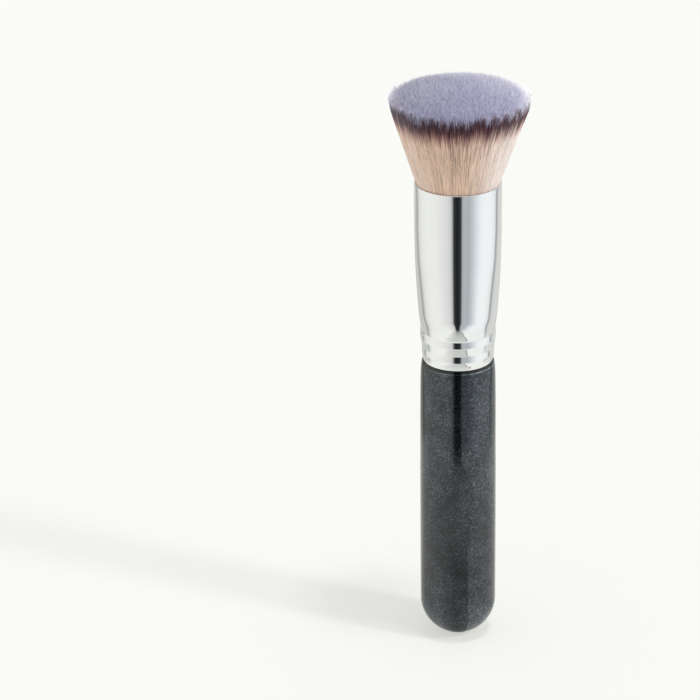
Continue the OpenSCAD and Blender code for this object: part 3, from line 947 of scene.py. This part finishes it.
def fibrePaleTipsAndLight(values, shares, fan, dyed):
    # how pale a fibre is: tips paler all round, and painted light at the right, the back, the rim
    # and the sides
    paleTipsAndLight, rim = values["paleTipsAndLight"], fan["rim"]
    right, back = np.cos(fan["turn"]), np.sin(fan["turn"])
    haze = (paleTipsAndLight["all"]
            + paleTipsAndLight["back"] * shares * np.clip(back + paleTipsAndLight["right"] * right, 0, 1)
            + paleTipsAndLight["rim"] * rim)
    less, soon = paleTipsAndLight["front"]
    haze -= less * ramp(shares, *paleTipsAndLight["edgeFrom"]) * np.clip(-soon * back, 0, 1)
    reach = (paleTipsAndLight["length"] + paleTipsAndLight["rimLength"] * rim)[:, None]
    power = (1 - paleTipsAndLight["rimPower"] * rim)[:, None]
    level = haze[:, None] * np.clip(1 - fan["toTip"] / reach, 0, 1) ** power
    dyedStart, dyedWidth = paleTipsAndLight["dyedFrom"]
    level *= np.clip((dyed - dyedStart) / dyedWidth + rim[:, None], 0, 1)
    atRight, atLeft = (ramp(side * right, *paleTipsAndLight["sideFrom"])[:, None] for side in (1, -1))
    undyed = np.clip((paleTipsAndLight["undyedTop"] - dyed) / paleTipsAndLight["undyedWidth"], 0, 1)
    sideStart, sideEnd = values["paintedSideLightFrom"]
    level += (paleTipsAndLight["rightSide"] * atRight + paleTipsAndLight["leftSide"] * atLeft
              + paleTipsAndLight["undyedRight"] * undyed
              * np.clip(right - sideStart, 0, sideEnd)[:, None])
    return level


def makeFibrePiece(name, values, kind, shares, startHeights, clumps, random, material):
    count = len(shares)
    fan = fanOut(values, shares, startHeights, kind["stations"], clumps, random)
    taper = np.clip(fan["toTip"] / values["taperLength"], 0, 1) ** values["taperPower"]
    radii = values["tipRadius"] + (values["fibreRadius"] - values["tipRadius"]) * taper
    radii = radii * random.uniform(*values["radiusSpread"], count)[:, None]
    spin = random.uniform(0, fullTurn, count)
    piece = fibreTubes(name, fan["paths"], radii, spin, fan["across"])
    dyed = fibreDye(values, kind, shares, fan, clumps, random)
    shade = fibreShade(values, kind, shares, fan, clumps, random)
    paleTipsAndLight = fibrePaleTipsAndLight(values, shares, fan, dyed)
    layers = {"dyeHeight": dyeShare(dyed, values), "paleTipsAndLight": paleTipsAndLight, "shade": shade}
    for layer, levels in layers.items():
        writeLayer(piece, layer, np.repeat(levels, tubeSides))
    placePiece(piece, material, "fibres", "bristles")


def makeFibreMaterial(values):
    # drawn and dyed PBT fibre: a satin plastic thread, undyed beige, then plum, then pale lilac
    # with pale tips, made paler still by painted light at the right, the back and the rim
    material, tree = newMaterial("dyedFibre")
    height = addNode(tree, "ShaderNodeAttribute", attribute_name="dyeHeight")
    dye = addNode(tree, "ShaderNodeValToRGB", {"Fac": height.outputs["Fac"]}, stops=[
        (dyeShare(z, values), colour) for z, colour in values["dyes"]])
    paleTipsAndLight = addNode(tree, "ShaderNodeAttribute", attribute_name="paleTipsAndLight")
    paledAndLit = addNode(tree, "ShaderNodeMix", {
        0: paleTipsAndLight.outputs["Fac"], 6: dye.outputs["Color"], 7: toLinear(values["tip"])},
        data_type="RGBA")
    shade = addNode(tree, "ShaderNodeAttribute", attribute_name="shade")
    position = addNode(tree, "ShaderNodeTexCoord").outputs["Object"]
    streaks = addNode(tree, "ShaderNodeTexNoise", {
        "Vector": position, "Scale": 700.0, "Detail": 2.0})  # 1.4 mm unevenness of the dye
    value = addNode(tree, "ShaderNodeMapRange", {
        "Value": streaks.outputs["Fac"], "To Min": 0.92, "To Max": 1.08})
    lightness = addNode(tree, "ShaderNodeMath", {
        0: shade.outputs["Fac"], 1: value}, operation="MULTIPLY")
    toned = addNode(tree, "ShaderNodeHueSaturation", {
        "Color": paledAndLit.outputs[2], "Value": lightness})
    shader = addNode(tree, "ShaderNodeBsdfPrincipled", {
        "Base Color": toned, "Roughness": 0.5, "IOR": 1.5, "Specular IOR Level": 0.3})
    finishMaterial(tree, shader)
    return material


def makePackedMiddle(values, material):
    # what shows between the fibres
    packed = values["packed"]
    heights = np.linspace(values["root"], packed["sideTop"], packed["sideSteps"])
    outline = [(0.0, values["root"])]
    outline += [(packed["share"] * smoothCurve(values["envelope"], z), z) for z in heights]
    for share in np.linspace(packed["share"], 0, packed["topSteps"])[1:]:
        z = topHeight(share, values) - packed["depth"]
        outline.append((share * smoothCurve(values["envelope"], z), z))
    core = lathe("packedFibres", outline, packed["segments"])
    points = np.zeros(len(core.data.vertices) * 3)
    core.data.vertices.foreach_get("co", points)
    z = points[2::3] / millimetre
    points[0::3] += values["lean"] * millimetre * spreadShare(z, values) ** values["leanPower"]
    core.data.vertices.foreach_set("co", points)
    writeLayer(core, "dyeHeight", dyeShare(z, values))
    writeLayer(core, "paleTipsAndLight", np.zeros(len(z)))
    # painted shade: the packed middle is darker, as the gaps between the fibres are
    writeLayer(core, "shade", np.full(len(z), packed["shade"]))
    placePiece(core, material, "fibres", "bristles")


def makeTuft(values):
    random = np.random.default_rng(values["seed"])
    clumps = makeClumps(values, random)
    material = makeFibreMaterial(values)
    makePackedMiddle(values, material)
    outer, top = values["outer"], values["top"]
    for part in range(values["pieces"]):
        count = outer["count"] // values["pieces"]
        shares = 1 - (1 - outer["from"]) * random.uniform(0, 1, count) ** outer["edgePower"]
        starts = np.full(count, values["root"] + values["path"]["start"])
        makeFibrePiece(f"outerFibres{part}", values, outer, shares, starts, clumps, random,
                       material)
    for part in range(values["pieces"]):
        count = top["count"] // values["pieces"]
        shares = np.sqrt(random.uniform(0, 1, count)) * top["to"]
        starts = topHeight(shares, values) - top["length"]
        makeFibrePiece(f"topFibres{part}", values, top, shares, starts, clumps, random, material)


makeTuft(tuft)
print("tuft made")
